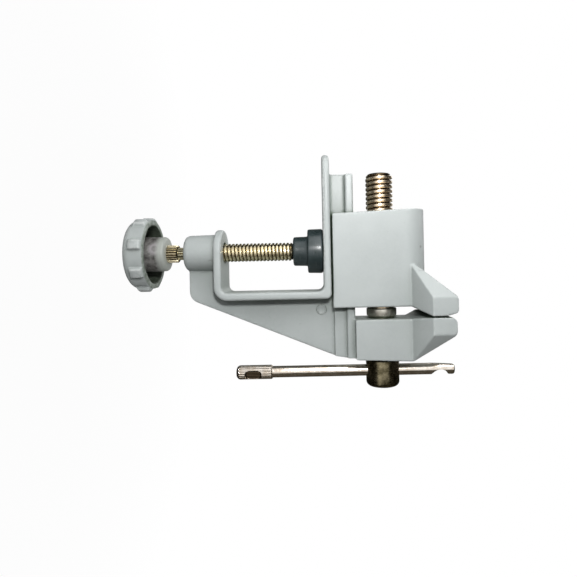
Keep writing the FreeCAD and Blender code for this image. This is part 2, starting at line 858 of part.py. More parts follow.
def make_knob():
    """The cast knob: a ribbed cup, open towards the frame, with a hub pressed on the spline."""
    body, origin = new_body("knob")
    hub_top = "(-sizes.clamp_thread_low - sizes.clamp_neck_length - sizes.clamp_spline_show)"
    rim = f"({hub_top} - sizes.knob_hub_stand)"
    low = f"({rim} - sizes.knob_depth)"
    outer = "(sizes.knob_width / 2)"
    hub = "(sizes.knob_hub_width / 2)"
    spline = "(sizes.clamp_spline_width / 2)"
    floor_z = f"({low} + sizes.knob_dome + sizes.knob_wall)"
    blind = "(-sizes.clamp_thread_low - sizes.clamp_neck_length - sizes.clamp_spline_length)"
    corner = "sizes.knob_corner"
    profile = body_outline(
        body,
        origin["XZ_Plane"],
        "knob_profile",
        [
            ("0", low),
            (f"{outer} * 0.4", f"{low} + sizes.knob_dome * 0.25"),
            (f"{outer} - {corner}", f"{low} + sizes.knob_dome"),
            (f"{outer} - {corner} * 0.293", f"{low} + sizes.knob_dome + {corner} * 0.293"),
            (outer, f"{low} + sizes.knob_dome + {corner}"),
            (outer, rim),
            (f"{outer} - sizes.knob_wall", rim),
            (f"{outer} - sizes.knob_wall * 1.2", floor_z),
            (hub, floor_z),
            (hub, f"{hub_top} - sizes.knob_hub_chamfer"),
            (f"{hub} - sizes.knob_hub_chamfer", hub_top),
            (spline, hub_top),
            (spline, blind),
            ("0", blind),
        ],
    )
    turned(body, "Revolution", profile, origin["Z_Axis"])
    rib_outer = "(sizes.knob_rib_width / 2)"
    wall_low = f"({low} + sizes.knob_dome + {corner})"
    rib_profile = body_outline(
        body,
        origin["XZ_Plane"],
        "knob_rib_profile",
        [
            (f"{outer} - sizes.knob_wall / 2", f"{wall_low} - sizes.knob_rib_low / 2"),
            (outer, wall_low),
            (rib_outer, f"{wall_low} + sizes.knob_rib_low"),
            (rib_outer, f"{rim} - sizes.knob_rib_high * 1.5"),
            (outer, f"{rim} - sizes.knob_rib_high / 2"),
            (f"{outer} - sizes.knob_wall / 2", f"{rim} - sizes.knob_rib_high / 2"),
        ],
    )
    rib = turned(body, "Revolution", rib_profile, origin["Z_Axis"], size("knob_rib_angle"), True)
    bind(rib, Angle="sizes.knob_rib_angle")
    ring = body.newObject("PartDesign::PolarPattern", "knob_ribs")
    ring.Originals = [rib]
    ring.Axis = (origin["Z_Axis"], [""])
    ring.Angle = 360
    bind(ring, Occurrences="sizes.knob_rib_count")
    body.Tip = ring
    body.Placement = FreeCAD.Placement(FreeCAD.Vector(), FreeCAD.Rotation(Z_AXIS, 1))
    return bind(body, Placement__Rotation__Angle="sizes.knob_turn")


# ---------------------------------------------------------------- build, check and write

PIECES = {
    "vise_body": make_vise_body,
    "sliding_jaw": make_sliding_jaw,
    "main_screw": make_main_screw,
    "retaining_collar": make_retaining_collar,
    "handle_bar": make_handle_bar,
    "clamp_screw": make_clamp_screw,
    "clamp_pad": make_clamp_pad,
    "knob": make_knob,
}

made = {}
for label, make in PIECES.items():
    piece = make()
    piece.Label = label
    made[label] = piece
doc.recompute()

for thing in doc.Objects:
    if "Invalid" in thing.State or "Error" in thing.State:
        raise RuntimeError(f"{thing.Name} failed: {thing.State}")

os.makedirs("parts", exist_ok=True)
for label, piece in made.items():
    shape = piece.Shape
    if shape.isNull() or not shape.isValid():
        raise RuntimeError(f"{label} has no valid shape")
    if len(shape.Solids) != 1:
        raise RuntimeError(f"{label} is {len(shape.Solids)} solids")
    shape.exportStep(f"parts/{label}.step")
    box = shape.BoundBox
    print(
        f"{label}: {shape.Volume:.1f} mm3, X {box.XMin:.2f} to {box.XMax:.2f},"
        f" Y {box.YMin:.2f} to {box.YMax:.2f}, Z {box.ZMin:.2f} to {box.ZMax:.2f}"
    )
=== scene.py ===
import math

import bmesh
import bpy
from mathutils import Matrix, Vector


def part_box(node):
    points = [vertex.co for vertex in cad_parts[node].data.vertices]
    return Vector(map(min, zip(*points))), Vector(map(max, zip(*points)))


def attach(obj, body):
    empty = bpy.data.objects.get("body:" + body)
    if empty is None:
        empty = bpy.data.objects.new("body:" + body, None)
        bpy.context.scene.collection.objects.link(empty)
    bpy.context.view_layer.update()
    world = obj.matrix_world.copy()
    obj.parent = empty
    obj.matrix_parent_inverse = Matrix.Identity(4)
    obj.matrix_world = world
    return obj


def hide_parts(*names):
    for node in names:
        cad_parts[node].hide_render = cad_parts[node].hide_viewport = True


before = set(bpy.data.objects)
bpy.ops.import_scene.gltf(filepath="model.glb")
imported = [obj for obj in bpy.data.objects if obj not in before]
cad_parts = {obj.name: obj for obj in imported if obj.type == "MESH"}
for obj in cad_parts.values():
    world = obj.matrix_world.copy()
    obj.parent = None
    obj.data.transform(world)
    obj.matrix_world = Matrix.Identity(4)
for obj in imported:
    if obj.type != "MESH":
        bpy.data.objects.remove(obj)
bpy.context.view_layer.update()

# ---------------------------------------------------------------- stage
# The studio: a camera square to the vise's side, rolled so that the jaws point to the right, a
# pale floor under the clamp's lowest travel, a white surround, soft lamps and dark cards.
# Shapes are worked out in millimetres and stored in metres.
MM = 0.001
scene = bpy.context.scene
scene.view_settings.view_transform = "Standard"


def node(tree, kind, inputs=None, **settings):
    """Add a shader node; each input is a value, or a socket to link from."""
    made = tree.nodes.new(kind)
    for key, value in settings.items():
        setattr(made, key, value)
    for key, value in (inputs or {}).items():
        if isinstance(value, bpy.types.NodeSocket):
            tree.links.new(value, made.inputs[key])
        else:
            made.inputs[key].default_value = value
    return made


def combined_value(tree, operation, first, second):
    """One shader value worked out from two."""
    return node(tree, "ShaderNodeMath", {0: first, 1: second}, operation=operation).outputs[0]


def seen_plainly(tree):
    """1 for rays that show the background: camera, glossy and transmission rays."""
    rays = node(tree, "ShaderNodeLightPath").outputs
    either = combined_value(tree, "MAXIMUM", rays["Is Camera Ray"], rays["Is Glossy Ray"])
    return combined_value(tree, "MAXIMUM", either, rays["Is Transmission Ray"])


def product(tree, first, second):
    """Two shader values multiplied."""
    return combined_value(tree, "MULTIPLY", first, second)


def spread(tree, value, low, high, to_low, to_high):
    """Map a value from one range to another, held at the ends."""
    return node(
        tree,
        "ShaderNodeMapRange",
        {"Value": value, "From Min": low, "From Max": high, "To Min": to_low, "To Max": to_high},
    ).outputs[0]


camera_place = Vector((4.9, -164.5, -1.15)) * MM
camera_roll = math.radians(1.2)
image_right = Vector((math.sin(camera_roll), 0, math.cos(camera_roll)))
image_up = Vector((-math.cos(camera_roll), 0, math.sin(camera_roll)))
image_back = Vector((0, -1, 0))
camera_data = bpy.data.cameras.new("camera")
camera_data.sensor_width = 36.0
camera_data.lens = 29.32
camera_data.shift_x = -0.0546
camera_data.shift_y = -0.0407
camera_data.clip_start = 0.01
camera = bpy.data.objects.new("camera", camera_data)
turn = Matrix((image_right, image_up, image_back)).transposed().to_4x4()
camera.matrix_world = Matrix.Translation(camera_place) @ turn
scene.collection.objects.link(camera)
scene.camera = camera

surround = bpy.data.worlds.new("white_surround")
surround.use_nodes = True
sky_tree = surround.node_tree
sky_tree.nodes.clear()
sky_fill = 0.04
sky_strength = spread(sky_tree, seen_plainly(sky_tree), 0.0, 1.0, sky_fill, 1.0)
sky = node(sky_tree, "ShaderNodeBackground", {"Strength": sky_strength})
sky.inputs["Color"].default_value = (1, 1, 1, 1)
node(sky_tree, "ShaderNodeOutputWorld", {"Surface": sky.outputs[0]})
scene.world = surround


def softbox(name, place, aim, wide, watts, mirrored=True):
    """A square area lamp at a place in millimetres, aimed at a point."""
    lamp = bpy.data.lights.new(name, "AREA")
    lamp.size = wide * MM
    lamp.energy = watts
    holder = bpy.data.objects.new(name, lamp)
    holder.location = Vector(place) * MM
    holder.rotation_mode = "QUATERNION"
    holder.rotation_quaternion = (Vector(aim) - Vector(place)).to_track_quat("-Z", "Y")
    holder.visible_camera = False
    holder.visible_glossy = mirrored
    scene.collection.objects.link(holder)


softbox("key_box", (-56, -200, 16), (5, 0, 0), 26, 0.27)
softbox("over_box", (-95, -70, 35), (5, 0, 5), 110, 0.092)
softbox("top_box", (-60, 150, 260), (5, 0, 0), 220, 0.25)
softbox("far_box", (-60, 280, 60), (5, 0, 0), 260, 0.5)
softbox("under_box", (240, 150, 0), (5, 0, 0), 220, 0.32, False)

floor_height = -96.0
floor_reach = 900.0
floor_mesh = bpy.data.meshes.new("floor")
floor_shape = bmesh.new()
bmesh.ops.create_circle(
    floor_shape,
    cap_ends=True,
    segments=96,
    radius=floor_reach * MM,
    matrix=Matrix.Translation((0, 0, floor_height * MM)),
)
floor_shape.to_mesh(floor_mesh)
floor_shape.free()
floor = bpy.data.objects.new("floor", floor_mesh)
scene.collection.objects.link(floor)
floor_paint = bpy.data.materials.new("pale_floor")
floor_paint.use_nodes = True
floor_tree = floor_paint.node_tree
floor_tree.nodes.clear()
matt = node(floor_tree, "ShaderNodeBsdfDiffuse")
matt.inputs["Color"].default_value = (0.38, 0.38, 0.38, 1)
glow = node(floor_tree, "ShaderNodeEmission", {"Strength": 1.0})
floor_place = node(floor_tree, "ShaderNodeTexCoord").outputs["Object"]
off_middle = node(floor_tree, "ShaderNodeVectorMath", {0: floor_place}, operation="LENGTH")
shaded_reach, white_reach, least_glow = 0.09, 0.22, 0.96
glow_share = spread(
    floor_tree, off_middle.outputs["Value"], shaded_reach, white_reach, least_glow, 1.0
)
glow_seen = product(floor_tree, seen_plainly(floor_tree), glow_share)
both = node(
    floor_tree,
    "ShaderNodeMixShader",
    {"Fac": glow_seen, 1: matt.outputs[0], 2: glow.outputs[0]},
)
node(floor_tree, "ShaderNodeOutputMaterial", {"Surface": both.outputs[0]})
floor_mesh.materials.append(floor_paint)


def dark_card(name, corners, tint=(0.0, 0.0, 0.0)):
    """A dark card that only reflections see, so that paint and metal have dark edges."""
    mesh = bpy.data.meshes.new(name)
    mesh.from_pydata([Vector(corner) * MM for corner in corners], [], [(0, 1, 2, 3)])
    card = bpy.data.objects.new(name, mesh)
    card.visible_camera = False
    card.visible_diffuse = False
    card.visible_shadow = False
    card.visible_transmission = False
    paper = bpy.data.materials.new(name)
    paper.use_nodes = True
    coating = paper.node_tree.nodes["Principled BSDF"]
    coating.inputs["Base Color"].default_value = (0.02, 0.018, 0.014, 1)
    coating.inputs["Emission Color"].default_value = (*tint, 1)
    coating.inputs["Emission Strength"].default_value = 1.0
    mesh.materials.append(paper)
    scene.collection.objects.link(card)


# the cards stand round the vise like a box, this far out and from this low to this high
reach, foot, top = 260, -94, 230
dark_card(
    "card_top", [(-reach, -300, top), (reach, -300, top), (reach, reach, top), (-reach, reach, top)]
)
dark_card(
    "card_floor",
    [(-reach, -130, foot), (reach, -130, foot), (reach, reach, foot), (-reach, reach, foot)],
)
dark_card(
    "card_user",
    [(reach, -220, foot), (reach, reach, foot), (reach, reach, top), (reach, -220, top)],
    (0.04, 0.034, 0.022),
)
dark_card(
    "card_front",
    [(155, -350, foot), (reach, -220, foot), (reach, -220, top), (155, -350, top)],
    (0.05, 0.045, 0.03),
)
dark_card(
    "card_table",
    [(-reach, -40, foot), (-reach, reach, foot), (-reach, reach, top), (-reach, -40, top)],
)
dark_card(
    "card_back",
    [(-reach, reach, foot), (-reach, reach, top), (reach, reach, top), (reach, reach, foot)],
    (0.047, 0.055, 0.04),
)


# ---------------------------------------------------------------- main casting
# One die casting in aluminium under silver-grey paint: the C-frame that hooks over the table, its
# screw boss, the rib behind it, the T-shaped rail and the fixed jaw. Edges and inner corners are
# soft, as castings are; the holes for the two screws are drilled afterwards, so theirs are crisp.

# which of (across, across, along) becomes x, y and z when a shape lies along an axis
AXIS_ORDER = {"X": (2, 0, 1), "Y": (0, 2, 1), "Z": (0, 1, 2)}


def corners_of(cad_node):
    """A node's lowest and highest corners in millimetres."""
    low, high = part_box(cad_node)
    return low / MM, high / MM


def rounded(corners, steps=8):
    """An outline through corners (a, b, radius), each turned on an arc of its radius."""
    outline = []
    for i, (a, b, radius) in enumerate(corners):
        corner = Vector((a, b))
        if not radius:
            outline.append(corner)
            continue
        before = (Vector(corners[i - 1][:2]) - corner).normalized()
        after = (Vector(corners[(i + 1) % len(corners)][:2]) - corner).normalized()
        half = before.angle(after) / 2
        centre = corner + (before + after).normalized() * (radius / math.sin(half))
        start = corner + before * (radius / math.tan(half)) - centre
        end = corner + after * (radius / math.tan(half)) - centre
        first = math.atan2(start.y, start.x)
        sweep = (math.atan2(end.y, end.x) - first + math.pi) % math.tau - math.pi
        for k in range(steps + 1):
            angle = first + sweep * k / steps
            outline.append(centre + Vector((math.cos(angle), math.sin(angle))) * radius)
    return outline


def corner_arc(radius, along, bend, first, last, steps=6):
    """Points on a bend round (radius, along), from one angle to another in degrees."""
    angles = [math.radians(first + (last - first) * i / steps) for i in range(steps + 1)]
    return [(radius + bend * math.cos(a), along + bend * math.sin(a)) for a in angles]


def laid(place, axis):
    """A place given as two distances across an axis and one along it, as (x, y, z)."""
    return [place[i] for i in AXIS_ORDER[axis]]


def around(radius, angle, along, axis="Z", centre=(0, 0)):
    """The place at a radius and an angle round an axis, and so far along it."""
    a = centre[0] + radius * math.cos(angle)
    b = centre[1] + radius * math.sin(angle)
    return laid((a, b, along), axis)


def skinned(rows):
    """A closed solid from rings of as many points each, with flat ends."""
    shape = bmesh.new()
    rings = [[shape.verts.new(place) for place in row] for row in rows]
    shape.faces.new(rings[0])
    shape.faces.new(rings[-1])
    for lower, upper in zip(rings, rings[1:]):
        for i in range(len(lower)):
            nxt = (i + 1) % len(lower)
            shape.faces.new((lower[i], lower[nxt], upper[nxt], upper[i]))
    bmesh.ops.recalc_face_normals(shape, faces=shape.faces)
    return shape


def prism(outline, axis, low, high):
    """A closed solid: an outline across an axis, carried from low to high along it."""
    return skinned([[laid((a, b, along), axis) for a, b in outline] for along in (low, high)])


def sliced(shape, point, outward):
    """Cut away what lies beyond a plane, and close the cut."""
    cut = bmesh.ops.bisect_plane(
        shape,
        geom=shape.verts[:] + shape.edges[:] + shape.faces[:],
        dist=0.01,
        plane_co=point,
        plane_no=outward,
        clear_outer=True,
    )
    rim = [part for part in cut["geom_cut"] if isinstance(part, bmesh.types.BMEdge)]
    bmesh.ops.holes_fill(shape, edges=rim, sides=0)
    bmesh.ops.dissolve_degenerate(shape, edges=shape.edges, dist=0.01)
    bmesh.ops.recalc_face_normals(shape, faces=shape.faces)
    return shape


def softened(shape, radius, wanted, segments=4):
    """Round the sharp edges whose middle point wanted() picks."""
    picked = [
        edge
        for edge in shape.edges
        if edge.calc_face_angle(0) > 0.35 and wanted((edge.verts[0].co + edge.verts[1].co) / 2)
    ]
    bmesh.ops.bevel(
        shape,
        geom=picked,
        offset=radius,
        offset_type="OFFSET",
        segments=segments,
        profile=0.5,
        affect="EDGES",
        clamp_overlap=True,
    )
    return shape


def turned(profile, axis="Z", centre=(0, 0), columns=96):
    """A closed solid of revolution from (radius, along) points, first and last on the axis."""
    shape = bmesh.new()
    rings = []
    for radius, along in profile:
        count = columns if radius > 0 else 1
        places = [around(radius, math.tau * i / count, along, axis, centre) for i in range(count)]
        rings.append([shape.verts.new(place) for place in places])
    for lower, upper in zip(rings, rings[1:]):
        for i in range(columns):
            nxt = (i + 1) % columns
            if len(lower) == 1:
                shape.faces.new((lower[0], upper[i], upper[nxt]))
            elif len(upper) == 1:
                shape.faces.new((lower[i], lower[nxt], upper[0]))
            else:
                shape.faces.new((lower[i], lower[nxt], upper[nxt], upper[i]))
    bmesh.ops.recalc_face_normals(shape, faces=shape.faces)
    return shape


def stored(name, *shapes):
    """One object in metres from shapes in millimetres."""
    whole = bmesh.new()
    for shape in shapes:
        part = bpy.data.meshes.new("part")
        shape.to_mesh(part)
        shape.free()
        whole.from_mesh(part)
        bpy.data.meshes.remove(part)
    bmesh.ops.scale(whole, vec=(MM, MM, MM), verts=whole.verts)
    mesh = bpy.data.meshes.new(name)
    whole.to_mesh(mesh)
    whole.free()
    made = bpy.data.objects.new(name, mesh)
    scene.collection.objects.link(made)
    return made


def settled(made):
    """Apply an object's modifiers to its mesh."""
    bpy.context.view_layer.update()
    graph = bpy.context.evaluated_depsgraph_get()
    finished = bpy.data.meshes.new_from_object(made.evaluated_get(graph))
    made.modifiers.clear()
    made.data = finished
    return made


def fused_skin(made, grain, passes):
    """Melt overlapping solids into one skin with soft edges and inner corners."""
    skin = made.modifiers.new("skin", "REMESH")
    skin.mode = "VOXEL"
    skin.voxel_size = grain * MM
    flow = made.modifiers.new("flow", "SMOOTH")
    flow.factor = 0.5
    flow.iterations = passes
    return settled(made)


def combined(made, others, operation):
    """Join other objects to one, or cut them out of it."""
    for other in others:
        step = made.modifiers.new("step", "BOOLEAN")
        step.operation = operation
        step.solver = "EXACT"
        step.object = other
        settled(made)
        bpy.data.objects.remove(other)
    return made


def shaded(made, crease=38):
    """Smooth shading that keeps edges sharper than the crease angle."""
    made.data.shade_smooth()
    made.data.set_sharp_from_angle(angle=math.radians(crease))
    return made


def fitted(made, finish, body, cad_node):
    """Give a piece its finish and body, and let it stand for its CAD node."""
    made.data.materials.clear()
    made.data.materials.append(finish)
    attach(made, body)
    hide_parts(cad_node)
    return made


def noise(tree, place, scale, detail=3.0, roughness=0.5):
    """A noise value at a scale of so many cells per metre."""
    return node(
        tree,
        "ShaderNodeTexNoise",
        {"Vector": place, "Scale": scale, "Detail": detail, "Roughness": roughness},
    ).outputs["Fac"]


def ramp(tree, value, *stops):
    """A colour ramp with stops (position, (r, g, b))."""
    made = node(tree, "ShaderNodeValToRGB", {"Fac": value})
    while len(made.color_ramp.elements) < len(stops):
        made.color_ramp.elements.new(1.0)
    for element, (position, colour) in zip(made.color_ramp.elements, stops):
        element.position = position
        element.color = (*colour, 1)
    return made.outputs["Color"]


def blended(tree, share, first, second):
    """Mix two colours by a share."""
    made = node(tree, "ShaderNodeMix", {0: share}, data_type="RGBA")
    for index, colour in ((6, first), (7, second)):
        if isinstance(colour, bpy.types.NodeSocket):
            tree.links.new(colour, made.inputs[index])
        else:
            made.inputs[index].default_value = (*colour, 1)
    return made.outputs[2]


def bumped(tree, height, distance, normal=None):
    """A bump from a height value, in millimetres, on top of another normal."""
    made = node(tree, "ShaderNodeBump", {"Height": height, "Strength": 1.0, "Distance": distance * MM})
    if normal is not None:
        tree.links.new(normal, made.inputs["Normal"])
    return made.outputs["Normal"]


def new_finish(name):
    """A material with its shader, and the place on the piece that its textures follow."""
    finish = bpy.data.materials.new(name)
    finish.use_nodes = True
    tree = finish.node_tree
    place = node(tree, "ShaderNodeTexCoord").outputs["Object"]
    return finish, tree, tree.nodes["Principled BSDF"], place


def silver_grey_paint(name):
    """Satin paint on a die casting: slightly uneven, lighter on sharp edges through wear and painted
    highlight, with painted shade in corners and recesses, and a few scuffs.
    """
    finish, tree, shader, place = new_finish(name)
    cloud = noise(tree, place, 60, 2.0)
    speckle = noise(tree, place, 900, 4.0)
    paint = ramp(tree, cloud, (0.35, (0.49, 0.53, 0.522)), (0.65, (0.545, 0.587, 0.578)))
    mottle = spread(tree, speckle, 0.3, 0.7, 0.0, 0.22)
    paint = blended(tree, mottle, paint, (0.60, 0.63, 0.625))
    # Sharp edges are lighter: partly wear of the paint, partly a painted highlight where rounded edges
    # catch the light.
    bend = node(tree, "ShaderNodeNewGeometry").outputs["Pointiness"]
    edge_sharpness = spread(tree, bend, 0.515, 0.58, 0.0, 0.8)
    edge_wear_and_highlight = product(tree, edge_sharpness, spread(tree, speckle, 0.38, 0.6, 0.2, 1.0))
    paint = blended(tree, edge_wear_and_highlight, paint, (0.76, 0.785, 0.775))
    # Painted shade: the paint darkens towards a dark green-grey in corners, creases and recesses, once
    # over a wide reach and once close in.
    for reach, clear, closed, most in ((14.0, 1.0, 0.5, 0.45), (1.8, 0.84, 0.58, 0.94)):
        shelter = node(tree, "ShaderNodeAmbientOcclusion", {"Distance": reach * MM}, samples=6)
        shade = spread(tree, shelter.outputs["AO"], closed, clear, most, 0.0)
        paint = blended(tree, shade, paint, (0.045, 0.07, 0.04))
    stretched = node(
        tree,
        "ShaderNodeMapping",
        {"Vector": place, "Scale": (1.0, 1.0, 0.35), "Rotation": (0.3, 0.9, 0.2)},
    ).outputs[0]
    scuff = spread(tree, noise(tree, stretched, 420, 5.0, 0.62), 0.68, 0.74, 0.0, 0.7)
    paint = blended(tree, scuff, paint, (0.27, 0.28, 0.27))
    tree.links.new(paint, shader.inputs["Base Color"])
    tree.links.new(spread(tree, speckle, 0.3, 0.7, 0.40, 0.52), shader.inputs["Roughness"])
    swell = bumped(tree, noise(tree, place, 210, 2.0), 0.05)
    peel = bumped(tree, noise(tree, place, 1500, 3.0), 0.012, swell)
    tree.links.new(peel, shader.inputs["Normal"])
    shader.inputs["Metallic"].default_value = 0.0
    shader.inputs["Specular IOR Level"].default_value = 0.4
    shader.inputs["Coat Weight"].default_value = 0.08
    shader.inputs["Coat Roughness"].default_value = 0.2
    return finish


body_low, body_high = corners_of("vise_body")
strip_half, strip_thick = 8.0, 2.6
strip_edge = 0.75
post_in = 13.7
post_out = post_in + strip_thick
arm_high = -34.3
arm_low = arm_high - strip_thick
bend_inner, bend_outer, bend_top = 2.0, 4.6, 1.7
stub_reach = 6.0
stub_overlap = 3.0

frame_bends = prism(
    rounded(
        [
            (stub_reach, strip_thick, 0),
            (post_out, strip_thick, bend_top),
            (post_out, arm_low, bend_outer),
            (stub_reach, arm_low, 0),
            (stub_reach, arm_high, 0),
            (post_in, arm_high, bend_inner),
            (post_in, 0, bend_inner),
            (stub_reach, 0, 0),
        ]
    ),
    "Y",
    -strip_half,
    strip_half,
)
softened(frame_bends, strip_edge, lambda point: abs(point.y) > strip_half - 0.01)


def tongue(tip, low, high, edge):
    """A flat strip with a round end, which runs a little way into the frame's bends."""
    strip = prism(
        rounded(
            [
                (tip, strip_half, strip_half * 0.98),
                (stub_reach + stub_overlap, strip_half, 0),
                (stub_reach + stub_overlap, -strip_half, 0),
                (tip, -strip_half, strip_half * 0.98),
            ],
            16,
        ),
        "Z",
        low,
        high,
    )
    middle, half = (low + high) / 2, (high - low) / 2
    return softened(
        strip, edge, lambda point: point.x < stub_reach and abs(point.z - middle) > half - 0.001
    )


table_plate = tongue(body_low.x, 0, strip_thick, 1.05)
clamp_arm = tongue(-strip_half, arm_low, arm_high, strip_edge)

boss_low = body_low.z
boss_radius = 6.42
boss_round = 1.7
boss_draft = 0.2
boss_sink = 0.5
boss_curve = corner_arc(
    boss_radius - boss_draft - boss_round, boss_low + boss_round, boss_round, -90, 0
)
screw_boss = turned(
    [(0, boss_low), *boss_curve, (boss_radius, arm_low + boss_sink), (0, arm_low + boss_sink)]
)

rib_half = 1.6
rib_root = 3.1
rib_low = -46.55
rib_foot = 16.0
rib_toe = 36.4
rib_top = 3.5
rail_neck_half, rail_head_half = 2.6, 4.2
rail_neck_top, rail_top = 7.8, 10.6
sink = strip_thick / 2
rib = prism(
    rounded(
        [
            (rib_root, rib_low, 0),
            (rib_foot, rib_low, 4.1),
            (rib_toe, rib_top, 0),
            (post_out - sink, rib_top, 0),
            (post_out - sink, arm_low + sink, 0),
            (rib_root, arm_low + sink, 0),
        ]
    ),
    "Y",
    -rib_half,
    rib_half,
)
softened(rib, 0.35, lambda point: abs(point.y) > rib_half - 0.01)

rail_end = -26.2
rail_far = 37.1
rail_neck = prism(
    [
        (rail_end, sink),
        (post_out - sink, sink),
        (post_out - sink, rib_top),
        (rib_toe, rib_top),
        (rail_far, rail_neck_top),
        (rail_far, rail_neck_top + 1),
        (rail_end, rail_neck_top + 1),
    ],
    "Y",
    -rail_neck_half,
    rail_neck_half,
)
rail_head = prism(
    rounded(
        [
            (rail_head_half, rail_neck_top, 0.4),
            (rail_head_half, rail_top, 0.5),
            (-rail_head_half, rail_top, 0.5),
            (-rail_head_half, rail_neck_top, 0.4),
        ],
        4,
    ),
    "X",
    rail_end,
    rail_far,
)
softened(rail_head, 0.4, lambda point: point.x < rail_end + 0.01)

jaw_half, block_half = 15.0, 7.0
flare_start, flare_end = 29.5, 34.7
crown_top = 35.2
cast_edge = 0.75
draft = math.tan(math.radians(2.4))


def arched_block(back, front, bottom):
    """A jaw's upright block: flat sides under a round crown, from back to front along X."""
    return prism(
        rounded(
            [
                (-block_half, bottom, 0),
                (block_half, bottom, 0),
                (block_half, crown_top, block_half * 0.999),
                (-block_half, crown_top, block_half * 0.999),
            ],
            16,
        ),
        "X",
        back,
        front,
    )


def jaw_head(face, tip_back, side_end, slope_end, relief, jaw_top):
    """The wide head of a jaw: a block cut by the planes of its flare, its cheeks and its back."""
    outward = 1 if tip_back > face else -1
    low_x, high_x = sorted((face, side_end))
    head = prism(
        [(low_x, -jaw_half), (high_x, -jaw_half), (high_x, jaw_half), (low_x, jaw_half)],
        "Z",
        flare_start,
        jaw_top,
    )
    rise, run = jaw_top - slope_end, abs(side_end - tip_back)
    sliced(head, (tip_back, 0, jaw_top), (outward * rise, 0, run))
    sliced(head, (face, 0, flare_end), (-outward * (flare_end - flare_start), 0, -abs(relief - face)))
    for side in (-1, 1):
        sliced(head, (tip_back, side * jaw_half, 0), (outward * (jaw_half - block_half), side * run, 0))
        sliced(
            head,
            (0, side * jaw_half, flare_end),
            (0, side * (flare_end - flare_start), block_half - jaw_half),
        )
    return head


fixed_face = 22.5
fixed_relief = fixed_face + 1.1
fixed_back = fixed_relief + 13.6
fixed_tip_back = fixed_face + 5.6
fixed_side_end = fixed_tip_back + 9.8
fixed_slope_end = flare_start + 0.3
fixed_top = body_high.z
fixed_slope = (fixed_top - fixed_slope_end, 0, fixed_side_end - fixed_tip_back)
fixed_block = arched_block(fixed_relief, fixed_back + 2, rail_top - 0.1)
sliced(fixed_block, (fixed_back, 0, rail_top), (1, 0, -draft))
sliced(fixed_block, (fixed_tip_back, 0, fixed_top), fixed_slope)
softened(fixed_block, cast_edge, lambda point: point.x > fixed_relief + 0.2 or point.z < rail_top)
softened(fixed_block, 0.9, lambda point: point.x < fixed_relief + 0.01)

fixed_head = jaw_head(
    fixed_face, fixed_tip_back, fixed_side_end, fixed_slope_end, fixed_relief, fixed_top
)
softened(
    fixed_head,
    2.1,
    lambda point: point.z > fixed_top - 0.01 and point.x < fixed_face + 0.01 and abs(point.y) < 1,
    8,
)
softened(
    fixed_head,
    1.2,
    lambda point: point.z > fixed_top - 0.01
    and abs(point.x - fixed_tip_back) < 0.01
    and abs(point.y) < 1,
    6,
)

vise_casting = stored(
    "vise_casting",
    frame_bends,
    table_plate,
    clamp_arm,
    screw_boss,
    rib,
    rail_neck,
    rail_head,
    fixed_block,
    fixed_head,
)
fused_skin(vise_casting, 0.28, 4)
mark_place = (20.3, -0.95)
mark_radius, mark_stand, mark_dish = 1.75, 0.4, 0.27
ejector_marks = []
for side in (-1, 1):
    face = side * (rib_half - 0.05)
    ejector_marks.append(
        stored(
            "ejector_mark",
            turned(
                [
                    (0, face - side),
                    (mark_radius, face - side),
                    (mark_radius, face + side * (mark_stand - 0.2)),
                    (mark_radius - 0.13, face + side * (mark_stand - 0.05)),
                    (mark_radius - 0.3, face + side * mark_stand),
                    (mark_radius - 0.45, face + side * (mark_stand - 0.1)),
                    (0, face + side * mark_dish),
                ],
                "Y",
                mark_place,
            ),
        )
    )
combined(vise_casting, ejector_marks, "UNION")
screw_height = 20.0
clamp_bore_radius = 3.25
shank_bore_radius = 4.2


def screw_drill(radius, low, high):
    """A plain round drill along the main screw's axis."""
    return stored(
        "screw_drill",
        turned([(0, low), (radius, low), (radius, high), (0, high)], "X", (0, screw_height)),
    )


clamp_drill = stored(
    "clamp_drill",
    turned(
        [
            (0, boss_low - 2),
            (clamp_bore_radius + 2.6, boss_low - 2),
            (clamp_bore_radius, boss_low + 0.6),
            (clamp_bore_radius, arm_high - 0.5),
            (clamp_bore_radius + 2.5, arm_high + 2),
            (0, arm_high + 2),
        ]
    ),
)
shank_drill = screw_drill(shank_bore_radius, fixed_face - 2.5, fixed_back + 5.8)
combined(vise_casting, [clamp_drill, shank_drill], "DIFFERENCE")
shaded(vise_casting)
casting_paint = silver_grey_paint("silver_grey_paint")
fitted(vise_casting, casting_paint, "vise_body", "vise_body")


# ---------------------------------------------------------------- sliding jaw
# The second casting, in the same paint. It rides on the T-shaped rail in a milled slot, and the
# main screw's nut thread is cut right through it.
moving_low, moving_high = corners_of("sliding_jaw")
moving_face = moving_high.x
moving_relief = moving_face - 2.55
moving_back = moving_relief - 31.9
moving_bottom = moving_low.z
moving_tip_back = moving_face - 6.1
moving_side_end = moving_tip_back - 10.45
moving_slope_end = flare_start + 1.6
moving_top = moving_high.z

moving_block = arched_block(moving_back - 2, moving_relief, moving_bottom)
sliced(moving_block, (moving_back, 0, moving_bottom), (-1, 0, -draft))
softened(moving_block, cast_edge, lambda point: point.x < moving_relief - 0.2)
softened(moving_block, 0.4, lambda point: point.x > moving_relief - 0.01)

moving_head = jaw_head(
    moving_face, moving_tip_back, moving_side_end, moving_slope_end, moving_relief, moving_top
)
nose_run, nose_depth = 3.8, 1.0
sliced(moving_head, (moving_face, 0, moving_top - nose_run), (nose_run, 0, nose_depth))
softened(
    moving_head,
    0.9,
    lambda point: point.z > moving_top - 0.01 and abs(point.y) < 1,
    6,
)

